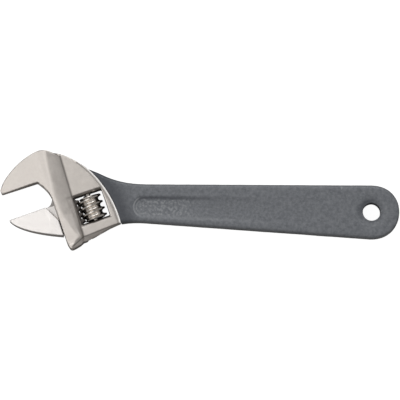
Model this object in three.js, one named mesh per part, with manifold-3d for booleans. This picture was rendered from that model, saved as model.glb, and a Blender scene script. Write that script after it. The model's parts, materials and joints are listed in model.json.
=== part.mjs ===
// Adjustable wrench of the 200 mm class: a forged body with the fixed jaw, a sliding jaw with a rack,
// a knurled worm on its pin and spring, and a dipped vinyl grip with a hanging hole.
// Millimetres. +X runs along the handle to the hanging hole, +Y to the fixed jaw's side, +Z is up.
// The head has a plan of its own, (u, v): the worm's centre is its zero, v is the way the jaw slides,
// up to the fixed jaw, and u runs along the gripping faces towards the handle.
import * as THREE from 'three';
import { mergeVertices } from 'three/addons/utils/BufferGeometryUtils.js';
import Module from 'manifold-3d';

const wasm = await Module();
wasm.setup();

// Overall
const HEAD_ANGLE = THREE.MathUtils.degToRad(21); // the gripping faces lean this much from the handle
const GAP = 0.3; // clearance between pieces
const SLIDING_GAP = 0.35; // clearance of the jaw against the ridge, in its bore and past the rack's tips
const FAR = 60; // a length past everything in the head

// Handle and grip
const HANDLE_Y = 2.9; // the handle's centre line above the worm's centre
const HOLE_X = 144.6; // the hanging hole's centre along the handle
const HOLE_RADIUS = 4.45;
const END_LENGTH = 14.4; // hole centre to the end of the grip
const END_HALF = 13.9; // half width of the grip at the hole
const NECK_X = 28; // narrowest place of the handle
const NECK_HALF = 10;
const END_FULLNESS = 0.59; // 0.55 would be a round end, more is blunter
const GRIP_HALF = 5.5; // half thickness of the grip
const GRIP_WALL = 1.2;
const GRIP_EDGE = 1.8; // size of the grip's rounded edges
const CORE_HALF = GRIP_HALF - GRIP_WALL;
const PANEL_START = 20.6; // sunk panel on both faces of the handle
const PANEL_END = 121;
const PANEL_RIM = 3.8; // width of the rim beside the panel
const PANEL_DEPTH = 0.9;
const DISH_RADIUS = 8;
const DISH_DEPTH = 0.6;

// Head
const WEB_HALF = 4.5; // half thickness of the flat web round the window
const RIDGE_HALF = 6.8; // half thickness of the ridge over the bore
const RIDGE_LEFT = -18;
const CREST_RIGHT = -15; // where the ridge's flat crest turns down
const FLANK_RADIUS = 11;
const FLANK_LEAN = THREE.MathUtils.degToRad(-2.3);
const FIXED_FACE_V = 20.95; // the fixed jaw's gripping face
const MOVING_FACE_V = 7.1; // the movable jaw's gripping face at rest
const JAW_TIP_U = -42;
const HEEL_U = -22.5; // where the gripping faces end
const JAW_HALF = 6.5; // half thickness of the movable jaw at its root
const JAW_TAPER = 0.13; // drop of the jaws' sides per mm towards the tips
const FOLD_FOOT = new THREE.Vector2(-18.6, 8); // two points of the line where the taper begins
const FOLD_TOP = new THREE.Vector2(-14, 30.7);
const COLLAR_CENTRE = new THREE.Vector2(-46, -8.8); // centre of the curved edge in front of the grip
const COLLAR_FOOT = 56.9; // radius where the raised edge leaves the web
const COLLAR_TOP = 57.6;
const COLLAR_OUTER = 57.8;
const COLLAR_HALF = 5.2;
const CORE_OVERLAP = 0.2; // the handle's core runs this far under the collar
const LOWER_CORNER = new THREE.Vector3(-8.6, -13.6, 4.55); // where the two slopes of the lower end meet
const LOWER_SIDE_V = -16.5; // the ridge's slope reaches the lower side here

// Window, worm, pin and spring
const WINDOW_LEFT = -7.7;
const WINDOW_RIGHT = 7.6;
const WINDOW_HALF = 7; // half height of the window along v
const WINDOW_CHAMFER = 1.2;
const WORM_BOTTOM = -6.5;
const WORM_TOP = 5.7;
const WORM_ROOT = 4.7;
const WORM_RADIUS = 6.5;
const THREAD_BURIED = 0.7; // the thread starts this deep in the drum
const PITCH = 3.45; // right-hand thread, one start
const CREST_WIDTH = 0.85;
const FLANK_SLOPE = Math.tan(THREE.MathUtils.degToRad(20));
const CREST_V = 1.5; // height of a crest on the worm's handle side, at rest
const PIN_RADIUS = 1.5;
const PIN_HEAD_RADIUS = 2.4;
const PIN_TOP = 13;
const PIN_BOTTOM = -14.1;
const PIN_HEAD_LENGTH = 1.6;
const PIN_SLOT_DEPTH = 0.8;
const PIN_SLOT_HALF = 0.4;
const SPRING_RADIUS = 2.2;
const SPRING_WIRE = 0.55;
const SPRING_TURNS = 4;
const SPRING_SEAT = 2; // bottom of the counterbore that holds the spring

// Runner and rack of the movable jaw
const RUNNER_U = -11.3;
const RUNNER_RADIUS = 4;
const RUNNER_TOP = 11.5;
const RUNNER_BOTTOM = -14;
const BORE_TOP = 26;
const SLOT_LEFT = -22.7; // the slot for the neck, behind the jaws' heel
const SLOT_TOP = 25.2;
const NECK_PLATE_HALF = 2.3; // half thickness of the neck between jaw and runner
const RACK_HALF = 2.2;
const RACK_ROOT = -6.8;
const RACK_TIP = -5.05;
const RACK_TEETH = 7;
const FIRST_TOOTH_V = CREST_V - 4 * PITCH;
const MESH_RADIUS = 5.6; // where the rack's teeth meet the thread
const LEAD = PITCH / (2 * Math.PI * MESH_RADIUS); // rise of the thread per mm round the worm at the rack

// A closed three.js geometry as a solid that can be cut and joined.
function solid(geometry) {
  const bare = geometry.index ? geometry.toNonIndexed() : geometry.clone();
  bare.deleteAttribute('normal');
  bare.deleteAttribute('uv');
  const merged = mergeVertices(bare, 1e-4);
  return new wasm.Manifold(new wasm.Mesh({
    numProp: 3,
    vertProperties: merged.attributes.position.array,
    triVerts: new Uint32Array(merged.index.array),
  }));
}

// A finished solid as a flat-shaded mesh.
function meshOf(name, shape, material) {
  const made = shape.getMesh();
  const indexed = new THREE.BufferGeometry();
  indexed.setAttribute('position', new THREE.BufferAttribute(new Float32Array(made.vertProperties), 3));
  indexed.setIndex(new THREE.BufferAttribute(new Uint32Array(made.triVerts), 1));
  const geometry = indexed.toNonIndexed();
  geometry.computeVertexNormals();
  const mesh = new THREE.Mesh(geometry, material);
  mesh.name = name;
  return mesh;
}

// A plate of the outline's shape, half on each side of the middle plane.
function plate(outline, half, curveSegments = 12) {
  const settings = { depth: 2 * half, bevelEnabled: false, curveSegments };
  const geometry = new THREE.ExtrudeGeometry(outline, settings);
  geometry.translate(0, 0, -half);
  return geometry;
}

// A bar along v whose section is drawn in u and z.
function barAlongV(section, low, high, curveSegments = 12) {
  const settings = { depth: high - low, bevelEnabled: false, curveSegments };
  const geometry = new THREE.ExtrudeGeometry(section, settings);
  geometry.rotateX(Math.PI / 2);
  geometry.translate(0, high, 0);
  return geometry;
}

// A round bar along v through (u, z = 0).
function roundAlongV(radius, u, low, high, sides = 24) {
  const geometry = new THREE.CylinderGeometry(radius, radius, high - low, sides);
  geometry.translate(u, (low + high) / 2, 0);
  return geometry;
}

function block(uLow, uHigh, vLow, vHigh, half) {
  const geometry = new THREE.BoxGeometry(uHigh - uLow, vHigh - vLow, 2 * half);
  geometry.translate((uLow + uHigh) / 2, (vLow + vHigh) / 2, 0);
  return geometry;
}

// A polygon as a shape.
function outlineOf(points) {
  return new THREE.Shape(points.map(([x, y]) => new THREE.Vector2(x, y)));
}

// The space beyond a plane, as a large block that rests on it.
function beyond(point, normal) {
  const geometry = new THREE.BoxGeometry(4 * FAR, 4 * FAR, FAR);
  geometry.translate(0, 0, FAR / 2);
  const outward = normal.clone().normalize();
  const turn = new THREE.Quaternion().setFromUnitVectors(new THREE.Vector3(0, 0, 1), outward);
  geometry.applyQuaternion(turn);
  geometry.translate(point.x, point.y, point.z);
  return geometry;
}

// The space beyond the plane through three points, on the side away from the middle of the head.
function beyondThree(a, b, c) {
  const normal = new THREE.Plane().setFromCoplanarPoints(a, b, c).normal;
  const outward = normal.z < 0 ? normal.negate() : normal;
  return beyond(a, outward);
}

// The geometry mirrored in the middle plane, with its faces still pointing out.
function mirrored(geometry) {
  const flipped = geometry.index ? geometry.toNonIndexed() : geometry.clone();
  flipped.scale(1, 1, -1);
  const position = flipped.getAttribute('position');
  const first = new THREE.Vector3();
  const second = new THREE.Vector3();
  for (let corner = 0; corner < position.count; corner += 3) {
    first.fromBufferAttribute(position, corner);
    second.fromBufferAttribute(position, corner + 1);
    position.setXYZ(corner, second.x, second.y, second.z);
    position.setXYZ(corner + 1, first.x, first.y, first.z);
  }
  return flipped;
}

// The shape with a cutter taken from its upper side and the cutter's mirror image from its lower side.
function cutBothSides(shape, cutter) {
  return shape.subtract(solid(cutter)).subtract(solid(mirrored(cutter)));
}

// A disc, or a ring from a closed profile of [radius, z], round the centre of the collar's arc.
function collarDisc(radius) {
  const geometry = new THREE.CylinderGeometry(radius, radius, FAR, 160);
  geometry.rotateX(Math.PI / 2);
  geometry.translate(COLLAR_CENTRE.x, COLLAR_CENTRE.y, 0);
  return geometry;
}

function collarRing(profile) {
  const geometry = new THREE.LatheGeometry(profile.map(([r, z]) => new THREE.Vector2(r, z)), 160);
  geometry.rotateX(Math.PI / 2);
  geometry.translate(COLLAR_CENTRE.x, COLLAR_CENTRE.y, 0);
  return geometry;
}

// The handle's half width at a place right of its neck.
function handleHalf(x) {
  return NECK_HALF + ((END_HALF - NECK_HALF) * (x - NECK_X)) / (HOLE_X - NECK_X);
}

// The handle's outline, drawn in by inset. Its left end runs on under the head.
function handleOutline(inset) {
  const upper = (y) => HANDLE_Y + y - inset;
  const lower = (y) => HANDLE_Y - y + inset;
  const endX = HOLE_X + END_LENGTH - inset;
  const bendX = HOLE_X + END_FULLNESS * (END_LENGTH - inset);
  const bendHalf = END_FULLNESS * (END_HALF - inset);
  const outline = new THREE.Shape();
  outline.moveTo(-5, upper(18.3));
  outline.lineTo(-1.9, upper(16.9));
  outline.bezierCurveTo(6.8, upper(13.3), 12.5, upper(9.6), NECK_X, upper(NECK_HALF));
  outline.lineTo(HOLE_X, upper(END_HALF));
  outline.bezierCurveTo(bendX, upper(END_HALF), endX, HANDLE_Y + bendHalf, endX, HANDLE_Y);
  outline.bezierCurveTo(endX, HANDLE_Y - bendHalf, bendX, lower(END_HALF), HOLE_X, lower(END_HALF));
  outline.lineTo(NECK_X, lower(NECK_HALF));
  outline.bezierCurveTo(22, lower(NECK_HALF - 0.1), 18.5, lower(10.5), 15, lower(11.1));
  outline.lineTo(8, lower(12.6));
  outline.closePath();
  return outline;
}

// The sunk panel's outline, drawn in by inset, with round ends.
function panelOutline(inset) {
  const left = handleHalf(PANEL_START) - PANEL_RIM - inset;
  const right = handleHalf(PANEL_END) - PANEL_RIM - inset;
  const outline = new THREE.Shape();
  outline.absarc(PANEL_START + inset + left, HANDLE_Y, left, Math.PI / 2, 1.5 * Math.PI);
  outline.absarc(PANEL_END - inset - right, HANDLE_Y, right, -Math.PI / 2, Math.PI / 2);
  outline.closePath();
  return outline;
}

// A handle of this half thickness with its two sunk panels.
function handleBlank(geometry, half, panelInset) {
  const cutter = plate(panelOutline(panelInset), PANEL_DEPTH);
  cutter.translate(0, 0, half);
  return cutBothSides(solid(geometry), cutter);
}

function hangingHole(radius) {
  const geometry = new THREE.CylinderGeometry(radius, radius, FAR, 36);
  geometry.rotateX(Math.PI / 2);
  geometry.translate(HOLE_X, HANDLE_Y, 0);
  return geometry;
}

// The jaws' sides fall towards the tips beyond this plane.
function taperCutter() {
  const along = FOLD_TOP.clone().sub(FOLD_FOOT).normalize();
  const normal = new THREE.Vector3(-JAW_TAPER * along.y, JAW_TAPER * along.x, 1);
  return beyond(new THREE.Vector3(FOLD_FOOT.x, FOLD_FOOT.y, RIDGE_HALF), normal);
}

// The fixed jaw, the throat and the ridge over the bore, seen from above.
function ridgeOutline() {
  const outline = new THREE.Shape();
  outline.moveTo(HEEL_U, FIXED_FACE_V);
  outline.lineTo(JAW_TIP_U + 0.4, FIXED_FACE_V);
  outline.quadraticCurveTo(JAW_TIP_U - 0.2, FIXED_FACE_V + 0.6, JAW_TIP_U, FIXED_FACE_V + 2.1);
  outline.bezierCurveTo(-39.2, 28.6, -27, 35.8, -17.3, 36.3);
  outline.bezierCurveTo(-14, 36.3, -12.3, 34.9, -10.3, 33.1);
  outline.lineTo(-5, 28);
  outline.lineTo(-5, -15.6);
  outline.lineTo(-12.5, -17.25);
  outline.lineTo(-15.2, -17.7);
  outline.quadraticCurveTo(-16.9, -17.9, -17.4, -16.8);
  outline.lineTo(RIDGE_LEFT, -14.5);
  outline.lineTo(RIDGE_LEFT, 9.5);
  outline.bezierCurveTo(RIDGE_LEFT, 14.5, -20.6, 18.2, HEEL_U, FIXED_FACE_V);
  return outline;
}

// The flat web round the window. Its right end is trimmed by the collar's arc.
function webOutline() {
  const outline = new THREE.Shape();
  outline.moveTo(-12, 34);
  outline.lineTo(-10, 32.9);
  outline.bezierCurveTo(-3.5, 30.2, 0, 24.8, 5.6, 18.5);
  outline.lineTo(20, 2);
  outline.lineTo(20, -11.9);
  outline.lineTo(10.8, -12.9);
  outline.lineTo(5.2, -13.5);
  outline.lineTo(-12.5, -17.25);
  outline.closePath();
  return outline;
}

// The ridge's handle side falls to the web as a round flank.
function flankCutter() {
  const centreZ = RIDGE_HALF - FLANK_RADIUS;
  const section = new THREE.Shape();
  section.absarc(CREST_RIGHT, centreZ, FLANK_RADIUS, Math.PI / 2, Math.PI / 9, true);
  section.lineTo(FAR, centreZ + FLANK_RADIUS * Math.sin(Math.PI / 9));
  section.lineTo(FAR, 2 * RIDGE_HALF);
  section.lineTo(CREST_RIGHT, 2 * RIDGE_HALF);
  section.closePath();
  return barAlongV(section, -FAR, FAR, 10).rotateZ(FLANK_LEAN);
}

// The slopes along the head's lower end, under the ridge and under the web, meet at a corner.
function ridgeSlope() {
  const ridgeEdge = new THREE.Vector3(-15.6, LOWER_SIDE_V, RIDGE_HALF);
  const side = new THREE.Vector3(-9, LOWER_SIDE_V, 3.75);
  return beyondThree(ridgeEdge, LOWER_CORNER, side);
}

function webSlope() {
  const webEdge = new THREE.Vector3(10.9, -12.4, WEB_HALF);
  const side = new THREE.Vector3(-0.6, -14.7, 3);
  return beyondThree(LOWER_CORNER, webEdge, side);
}

// The window's sloped edges above and below the worm, and the wider relief beside the rack.
function windowCutters() {
  const low = WEB_HALF - WINDOW_CHAMFER;
  const outer = WINDOW_HALF + WINDOW_CHAMFER;
  const bevel = (side) => {
    const section = outlineOf([
      [side * (WINDOW_HALF - 0.01), low],
      [side * (outer + 1), WEB_HALF + 1],
      [0, WEB_HALF + 1],
      [0, low],
    ]);
    const settings = { depth: WINDOW_RIGHT - WINDOW_LEFT, bevelEnabled: false };
    const geometry = new THREE.ExtrudeGeometry(section, settings);
    geometry.rotateX(Math.PI / 2);
    geometry.rotateZ(Math.PI / 2);
    geometry.translate(WINDOW_LEFT, 0, 0);
    return geometry;
  };
  const relief = outlineOf([[-11.2, 6.2], [-7.4, 3.9], [-7.4, 9], [-11.2, 9]]);
  return [bevel(1), bevel(-1), barAlongV(relief, -outer - 0.3, outer)];
}

// Everything that is cut through the head: bore, slots, window, pin hole.
function headHollows() {
  const slotTop = new THREE.Shape();
  slotTop.moveTo(SLOT_LEFT, FIXED_FACE_V + 0.15);
  slotTop.lineTo(-20.6, FIXED_FACE_V + 0.8);
  slotTop.lineTo(-18.4, SLOT_TOP);
  slotTop.lineTo(RUNNER_U, SLOT_TOP);
  slotTop.lineTo(RUNNER_U, -FAR);
  slotTop.lineTo(SLOT_LEFT, -FAR);
  slotTop.closePath();
  return [
    roundAlongV(RUNNER_RADIUS + SLIDING_GAP, RUNNER_U, -FAR, BORE_TOP),
    plate(slotTop, NECK_PLATE_HALF + GAP),
    block(RUNNER_U, RACK_TIP + SLIDING_GAP, -FAR, BORE_TOP, RACK_HALF + GAP),
    block(WINDOW_LEFT, WINDOW_RIGHT, -WINDOW_HALF, WINDOW_HALF, FAR),
    roundAlongV(PIN_RADIUS + GAP, 0, -FAR, PIN_TOP + GAP),
    roundAlongV(PIN_HEAD_RADIUS + GAP, 0, -FAR, PIN_BOTTOM + PIN_HEAD_LENGTH + GAP),
  ];
}

// The forged body: fixed jaw, ridge, web, collar and the handle's core.
function makeBody() {
  const ridge = [ridgeSlope(), taperCutter(), flankCutter()]
    .reduce(cutBothSides, solid(plate(ridgeOutline(), RIDGE_HALF)));
  const web = cutBothSides(solid(plate(webOutline(), WEB_HALF)), webSlope())
    .intersect(solid(collarDisc(COLLAR_OUTER)));
  const core = handleBlank(plate(handleOutline(GRIP_WALL), CORE_HALF), CORE_HALF, 0)
    .subtract(solid(collarDisc(COLLAR_FOOT - CORE_OVERLAP).rotateZ(HEAD_ANGLE)))
    .subtract(solid(hangingHole(HOLE_RADIUS + GRIP_WALL + GAP)));
  const ring = solid(collarRing([
    [COLLAR_FOOT, -WEB_HALF],
    [COLLAR_TOP, -COLLAR_HALF],
    [COLLAR_OUTER, -COLLAR_HALF],
    [COLLAR_OUTER, COLLAR_HALF],
    [COLLAR_TOP, COLLAR_HALF],
    [COLLAR_FOOT, WEB_HALF],
    [COLLAR_FOOT, -WEB_HALF],
  ]));
  const collar = ring.intersect(solid(plate(webOutline(), COLLAR_HALF)));
  const [upperBevel, lowerBevel, relief] = windowCutters();
  let head = ridge.add(web).add(collar);
  head = [upperBevel, lowerBevel, relief].reduce(cutBothSides, head);
  for (const hollow of headHollows()) {
    head = head.subtract(solid(hollow));
  }
  return solid(turned(head)).add(core);
}

// A head solid as a geometry turned to its place on the handle.
function turned(shape) {
  return meshOf('', shape, null).geometry.rotateZ(HEAD_ANGLE);
}

// The sliding jaw with its neck, runner and rack, in one piece.
function makeMovableJaw() {
  const jaw = new THREE.Shape();
  const right = RIDGE_LEFT - SLIDING_GAP;
  jaw.moveTo(HEEL_U - 0.1, MOVING_FACE_V);
  jaw.lineTo(JAW_TIP_U - 0.1, MOVING_FACE_V);
  jaw.quadraticCurveTo(JAW_TIP_U - 0.6, MOVING_FACE_V - 0.1, JAW_TIP_U - 0.4, MOVING_FACE_V - 0.9);
  jaw.bezierCurveTo(-39.5, 0.8, -30.5, -4.6, right, -9.75);
  jaw.lineTo(right, -1.5);
  const neck = new THREE.Shape();
  neck.moveTo(-30, 0);
  neck.lineTo(-25, MOVING_FACE_V);
  neck.lineTo(-21.5, MOVING_FACE_V);
  neck.quadraticCurveTo(-19.2, 7.4, -17.8, 11);
  neck.lineTo(RUNNER_U, RUNNER_TOP - 0.2);
  neck.lineTo(RUNNER_U, -9);
  neck.lineTo(-19, -9.1);
  neck.closePath();
  const thick = cutBothSides(solid(plate(jaw, JAW_HALF)), taperCutter());
  const runner = solid(roundAlongV(RUNNER_RADIUS, RUNNER_U, RUNNER_BOTTOM, RUNNER_TOP));
  const bar = solid(block(RUNNER_U, RACK_ROOT, RUNNER_BOTTOM, RUNNER_TOP, RACK_HALF));
  let whole = thick.add(solid(plate(neck, NECK_PLATE_HALF))).add(runner).add(bar);
  for (let tooth = 0; tooth < RACK_TEETH; tooth += 1) {
    whole = whole.add(solid(rackTooth(FIRST_TOOTH_V + tooth * PITCH)));
  }
  return whole;
}

// One tooth of the rack. It leans by the thread's lead, so that it runs along the groove.
function rackTooth(v) {
  const tipHalf = toothHalf(RACK_TIP);
  const rootHalf = toothHalf(RACK_ROOT);
  const buried = RACK_ROOT - 1;
  const section = outlineOf([
    [buried, -rootHalf],
    [RACK_ROOT, -rootHalf],
    [RACK_TIP, -tipHalf],
    [RACK_TIP, tipHalf],
    [RACK_ROOT, rootHalf],
    [buried, rootHalf],
  ]);
  const tooth = plate(section, RACK_HALF);
  const lean = new THREE.Matrix4().makeShear(0, 0, 0, 0, 0, LEAD);
  tooth.applyMatrix4(lean);
  tooth.translate(0, v, 0);
  return tooth;
}

// Half width of a rack tooth at this distance from the worm: the groove's half width less the gap.
function toothHalf(u) {
  const radius = Math.min(-u, WORM_RADIUS);
  const ridgeHalf = CREST_WIDTH / 2 + (WORM_RADIUS - radius) * FLANK_SLOPE;
  return PITCH / 2 - ridgeHalf - GAP;
}

// The worm: a drilled drum with one thread, and a seat for the spring in its upper end.
function makeKnurl() {
  const stepsPerTurn = 26;
  const turns = (WORM_TOP - WORM_BOTTOM) / PITCH + 1;
  const steps = Math.round(turns * stepsPerTurn);
  const thread = new THREE.BoxGeometry(1, 1, 1, 1, 1, steps);
  const position = thread.getAttribute('position');
  const inner = WORM_ROOT - THREAD_BURIED;
  const middle = (WORM_TOP + WORM_BOTTOM) / 2;
  for (let corner = 0; corner < position.count; corner += 1) {
    const radius = position.getX(corner) > 0 ? WORM_RADIUS : inner;
    const halfWidth = CREST_WIDTH / 2 + (WORM_RADIUS - radius) * FLANK_SLOPE;
    const rise = -position.getZ(corner) * turns * PITCH;
    const turn = (rise + middle - CREST_V) * ((2 * Math.PI) / PITCH) + Math.PI / 2;
    const v = middle + rise + (position.getY(corner) > 0 ? halfWidth : -halfWidth);
    position.setXYZ(corner, radius * Math.sin(turn), v, radius * Math.cos(turn));
  }
  const drum = solid(roundAlongV(WORM_ROOT, 0, WORM_BOTTOM - 1, WORM_TOP + 1, 32));
  const ends = solid(block(-FAR, FAR, WORM_BOTTOM, WORM_TOP, FAR));
  return solid(thread).add(drum).intersect(ends)
    .subtract(solid(roundAlongV(PIN_RADIUS + GAP, 0, -FAR, FAR)))
    .subtract(solid(roundAlongV(SPRING_RADIUS + SPRING_WIRE / 2 + GAP + 0.1, 0, SPRING_SEAT, FAR)));
}

// The pin: a screw with a slotted head, in from the head's lower end.
function makePin() {
  const headTop = PIN_BOTTOM + PIN_HEAD_LENGTH;
  return solid(roundAlongV(PIN_RADIUS, 0, headTop - 0.5, PIN_TOP))
    .add(solid(roundAlongV(PIN_HEAD_RADIUS, 0, PIN_BOTTOM, headTop)))
    .subtract(solid(block(-FAR, FAR, PIN_BOTTOM - 1, PIN_BOTTOM + PIN_SLOT_DEPTH, PIN_SLOT_HALF)));
}

// The small compression coil round the pin, between the worm and the window's upper wall.
class CoilCurve extends THREE.Curve {
  getPoint(t, target = new THREE.Vector3()) {
    const low = SPRING_SEAT + GAP + SPRING_WIRE / 2;
    const high = WINDOW_HALF - GAP - SPRING_WIRE / 2;
    const turn = 2 * Math.PI * SPRING_TURNS * t;
    return target.set(SPRING_RADIUS * Math.sin(turn), low + (high - low) * t, SPRING_RADIUS * Math.cos(turn));
  }
}

function makeSpring() {
  const wire = new THREE.Shape();
  wire.absarc(0, 0, SPRING_WIRE / 2, 0, 2 * Math.PI);
  const steps = SPRING_TURNS * 14;
  const coil = new THREE.ExtrudeGeometry(wire, { steps, curveSegments: 4, extrudePath: new CoilCurve() });
  return solid(coil);
}

// The dipped vinyl grip: a sleeve over the core, closed at the end and lined through the hole.
function makeGrip() {
  const outer = new THREE.ExtrudeGeometry(handleOutline(0), {
    depth: 2 * (GRIP_HALF - GRIP_EDGE),
    bevelThickness: GRIP_EDGE,
    bevelSize: GRIP_EDGE,
    bevelOffset: -GRIP_EDGE,
    bevelSegments: 3,
    curveSegments: 12,
  });
  outer.translate(0, 0, GRIP_EDGE - GRIP_HALF);
  const dish = new THREE.CylinderGeometry(DISH_RADIUS + 1, HOLE_RADIUS, 2 * DISH_DEPTH, 36);
  dish.rotateX(Math.PI / 2);
  dish.translate(HOLE_X, HANDLE_Y, GRIP_HALF);
  const cavityHalf = CORE_HALF + GAP;
  const cavity = handleBlank(plate(handleOutline(GRIP_WALL - GAP), cavityHalf), cavityHalf, GAP)
    .subtract(solid(hangingHole(HOLE_RADIUS + GRIP_WALL)));
  return cutBothSides(handleBlank(outer, GRIP_HALF, GRIP_WALL), dish)
    .subtract(cavity)
    .subtract(solid(hangingHole(HOLE_RADIUS)))
    .subtract(solid(collarDisc(COLLAR_OUTER + GAP).rotateZ(HEAD_ANGLE)));
}

const satinNickel = () => new THREE.MeshStandardMaterial({ color: 0xc9c2bc, roughness: 0.38, metalness: 1 });
const polishedSteel = () => new THREE.MeshStandardMaterial({ color: 0xd6cec6, roughness: 0.2, metalness: 1 });
const springSteel = () => new THREE.MeshStandardMaterial({ color: 0x9c9a98, roughness: 0.35, metalness: 1 });
const dippedVinyl = () => new THREE.MeshStandardMaterial({ color: 0x62666c, roughness: 0.6, metalness: 0 });

const wrench = new THREE.Group();
const head = new THREE.Group();
head.rotation.z = HEAD_ANGLE;
head.add(
  meshOf('movable_jaw', makeMovableJaw(), satinNickel()),
  meshOf('knurl', makeKnurl(), polishedSteel()),
  meshOf('knurl_pin', makePin(), polishedSteel()),
  meshOf('knurl_spring', makeSpring(), springSteel()),
);
wrench.add(meshOf('body', makeBody(), satinNickel()), meshOf('grip', makeGrip(), dippedVinyl()), head);

// The part's zero is under the middle of its box, on the surface that it lies on.
const box = new THREE.Box3().setFromObject(wrench, true);
wrench.position.set(-(box.min.x + box.max.x) / 2, -(box.min.y + box.max.y) / 2, -box.min.z);

const root = new THREE.Group();
root.add(wrench);

export default root;
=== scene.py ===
"""Adjustable wrench: nickel-plated forged body and jaw, worm on its pin and spring, dipped vinyl grip.

The head's pieces are shaped in the head's own plan, in millimetres: the worm's centre is its zero, v is the
way the jaw slides and u runs along the gripping faces towards the handle. HEAD turns that plan to its place.
"""

import json
import math

import bmesh
import bpy
from mathutils import Matrix, Vector, noise


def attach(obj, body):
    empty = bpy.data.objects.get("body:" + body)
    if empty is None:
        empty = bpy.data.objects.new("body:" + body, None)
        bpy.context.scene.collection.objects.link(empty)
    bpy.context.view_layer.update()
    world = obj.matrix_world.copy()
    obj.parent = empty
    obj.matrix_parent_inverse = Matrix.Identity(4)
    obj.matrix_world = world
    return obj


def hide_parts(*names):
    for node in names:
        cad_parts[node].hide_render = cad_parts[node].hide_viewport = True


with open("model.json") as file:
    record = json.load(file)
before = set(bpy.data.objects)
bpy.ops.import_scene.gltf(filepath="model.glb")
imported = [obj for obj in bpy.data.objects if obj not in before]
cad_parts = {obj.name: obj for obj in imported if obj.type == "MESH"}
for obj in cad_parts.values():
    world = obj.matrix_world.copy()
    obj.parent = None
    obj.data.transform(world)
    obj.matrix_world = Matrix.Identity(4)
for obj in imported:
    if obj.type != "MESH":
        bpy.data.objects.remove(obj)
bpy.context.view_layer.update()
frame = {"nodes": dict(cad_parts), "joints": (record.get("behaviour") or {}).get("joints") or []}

MM = 0.001
UP = Vector((0, 0, 1))

# The head's plan
WORM_MIDDLE_V = -0.4
COLLAR_CENTRE = (-46.0, -8.8)
COLLAR_OUTER = 57.8
GRIP_FRONT = 58.1
COLLAR_RISE_FROM = 56.75  # the collar swells from the web over this stretch
COLLAR_RISE = 0.22
CREASE_GROOVE = 0.3  # depth of the fine groove along the collar's foot
WEB_HALF = 4.5
RIDGE_HALF = 6.8
RIDGE_LEFT = -18.0
# The ridge's crest, as (v, u) from the head's lower end to its top
RIDGE_CREST = (
    (-18.0, -8.5), (-12.7, -10.8), (-8.75, -12.9), (0.5, -15.8), (9.0, -16.4), (25.0, -15.4), (36.0, -14.6)
)
RIDGE_LEAN = 0.13  # the ridge's top falls this much per millimetre towards the jaws
FLANK_CREST = -15.0  # the CAD's flank: where it starts, where it ends, its radius and how it leans along v
FLANK_FOOT = -8.27
FLANK_RADIUS = 11.0
FLANK_LEAN = 0.04
# The movable jaw: its right side, where the CAD's taper starts, and where the added lean ends
JAW_RIGHT = -18.3
JAW_FOLD = -23.5
JAW_FADE = -41.0
JAW_LEAN = 0.085
BORE_U = -11.3
BORE_RADIUS = 4.35
RACK_CHANNEL_U = -4.7
RACK_CHANNEL_HALF = 2.5
PLUG_LEFT = -14.6  # the plug stays clear of the slot for the neck
LOWER_END = (-12.5, -17.2)  # a place on the head's lower end, and the way out of it
LOWER_END_OUT = (0.215, -0.977)
BORE_MOUTH = -11.5  # the bore is cut afresh from here to its lower end, for a clean rim
MOUTH_OVERLAP = 0.5  # the fresh cut starts this far above the plug's end
PLUG_END = -24.0  # past the head's lower end
CUT_END = -26.0
PLUG_SLACK = 0.05  # the plug is smaller than the bore by this, and the fresh cut larger by CUT_SLACK
CUT_SLACK = 0.07
SKIN_CELL = 0.3  # size of the small faces that the skins are made of
JAW_SKIN_CELL = 0.25
GRIP_SKIN_CELL = 0.48
BROWN = 0.68  # how dark oiled steel and painted shade are, between clean (0) and black (1)
BLACK = 0.94
WINDOW_HALF_U = 7.75
WINDOW_HALF_V = 8.3

# Creases on the head where shade is painted: from, to, and how wide
CREASE_SHADE_LINES = (
    ((-6.95, 33.0), (-8.8, -13.4), 0.75),
    ((-8.7, -13.5), (-15.8, -16.6), 0.5),
    ((-8.7, -13.5), (10.9, -12.5), 0.5),
    ((-8.2, 8.3), (8.0, 8.3), 0.5),
    ((-8.0, -8.2), (8.0, -8.2), 0.45),
    ((-7.9, 8.3), (-7.9, -8.3), 0.5),
)

# The handle, measured from the worm's centre along and across it
HOLE_X = 144.6
HANDLE_Y = 2.9
GRIP_HALF = 5.5
# The sunk panel's two round ends: centre along and across the handle, and radius
PANEL_LEFT = (26.7, -2.0, 5.2)
PANEL_RIGHT = (111.7, -1.35, 6.45)
SCUFF = (128.6, 11.6)  # a small light scuff, along the handle and across from its middle
PANEL_DEEP = 1.3
PANEL_SHALLOW = 0.25
RIM_START = 12.0  # left of here the grip's face is left as it is
NECK_X = 28.0
NECK_HALF = 10.0
END_HALF = 13.9
DISH_RADIUS = 9.5
DISH_DEPTH = 0.9
HOLE_RADIUS = 4.45
CORE_CUT_X = 24.0  # from here on the grip hides the body's core
CORE_OVERLAP = 1.0

# The worm
WORM_BOTTOM = -6.5
WORM_TOP = 5.7
WORM_ROOT = 4.7
WORM_RADIUS = 6.5
WORM_PITCH = 3.45
WORM_CREST_V = 1.5
WORM_BORE = 1.8
SPRING_SEAT_RADIUS = 2.87
SPRING_SEAT_V = 2.0
STEPS_PER_TURN = 96

# The pin and the spring
PIN_RADIUS = 1.5
PIN_HEAD_RADIUS = 2.4
PIN_BOTTOM = -14.1
PIN_HEAD_LENGTH = 1.6
PIN_TOP = 13.0
PIN_SLOT_WIDTH = 0.8
PIN_SLOT_DEPTH = 0.8
SPRING_RADIUS = 2.2
SPRING_WIRE = 0.55
SPRING_TURNS = 4
SPRING_LOW = 2.575
SPRING_HIGH = 6.425

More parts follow.
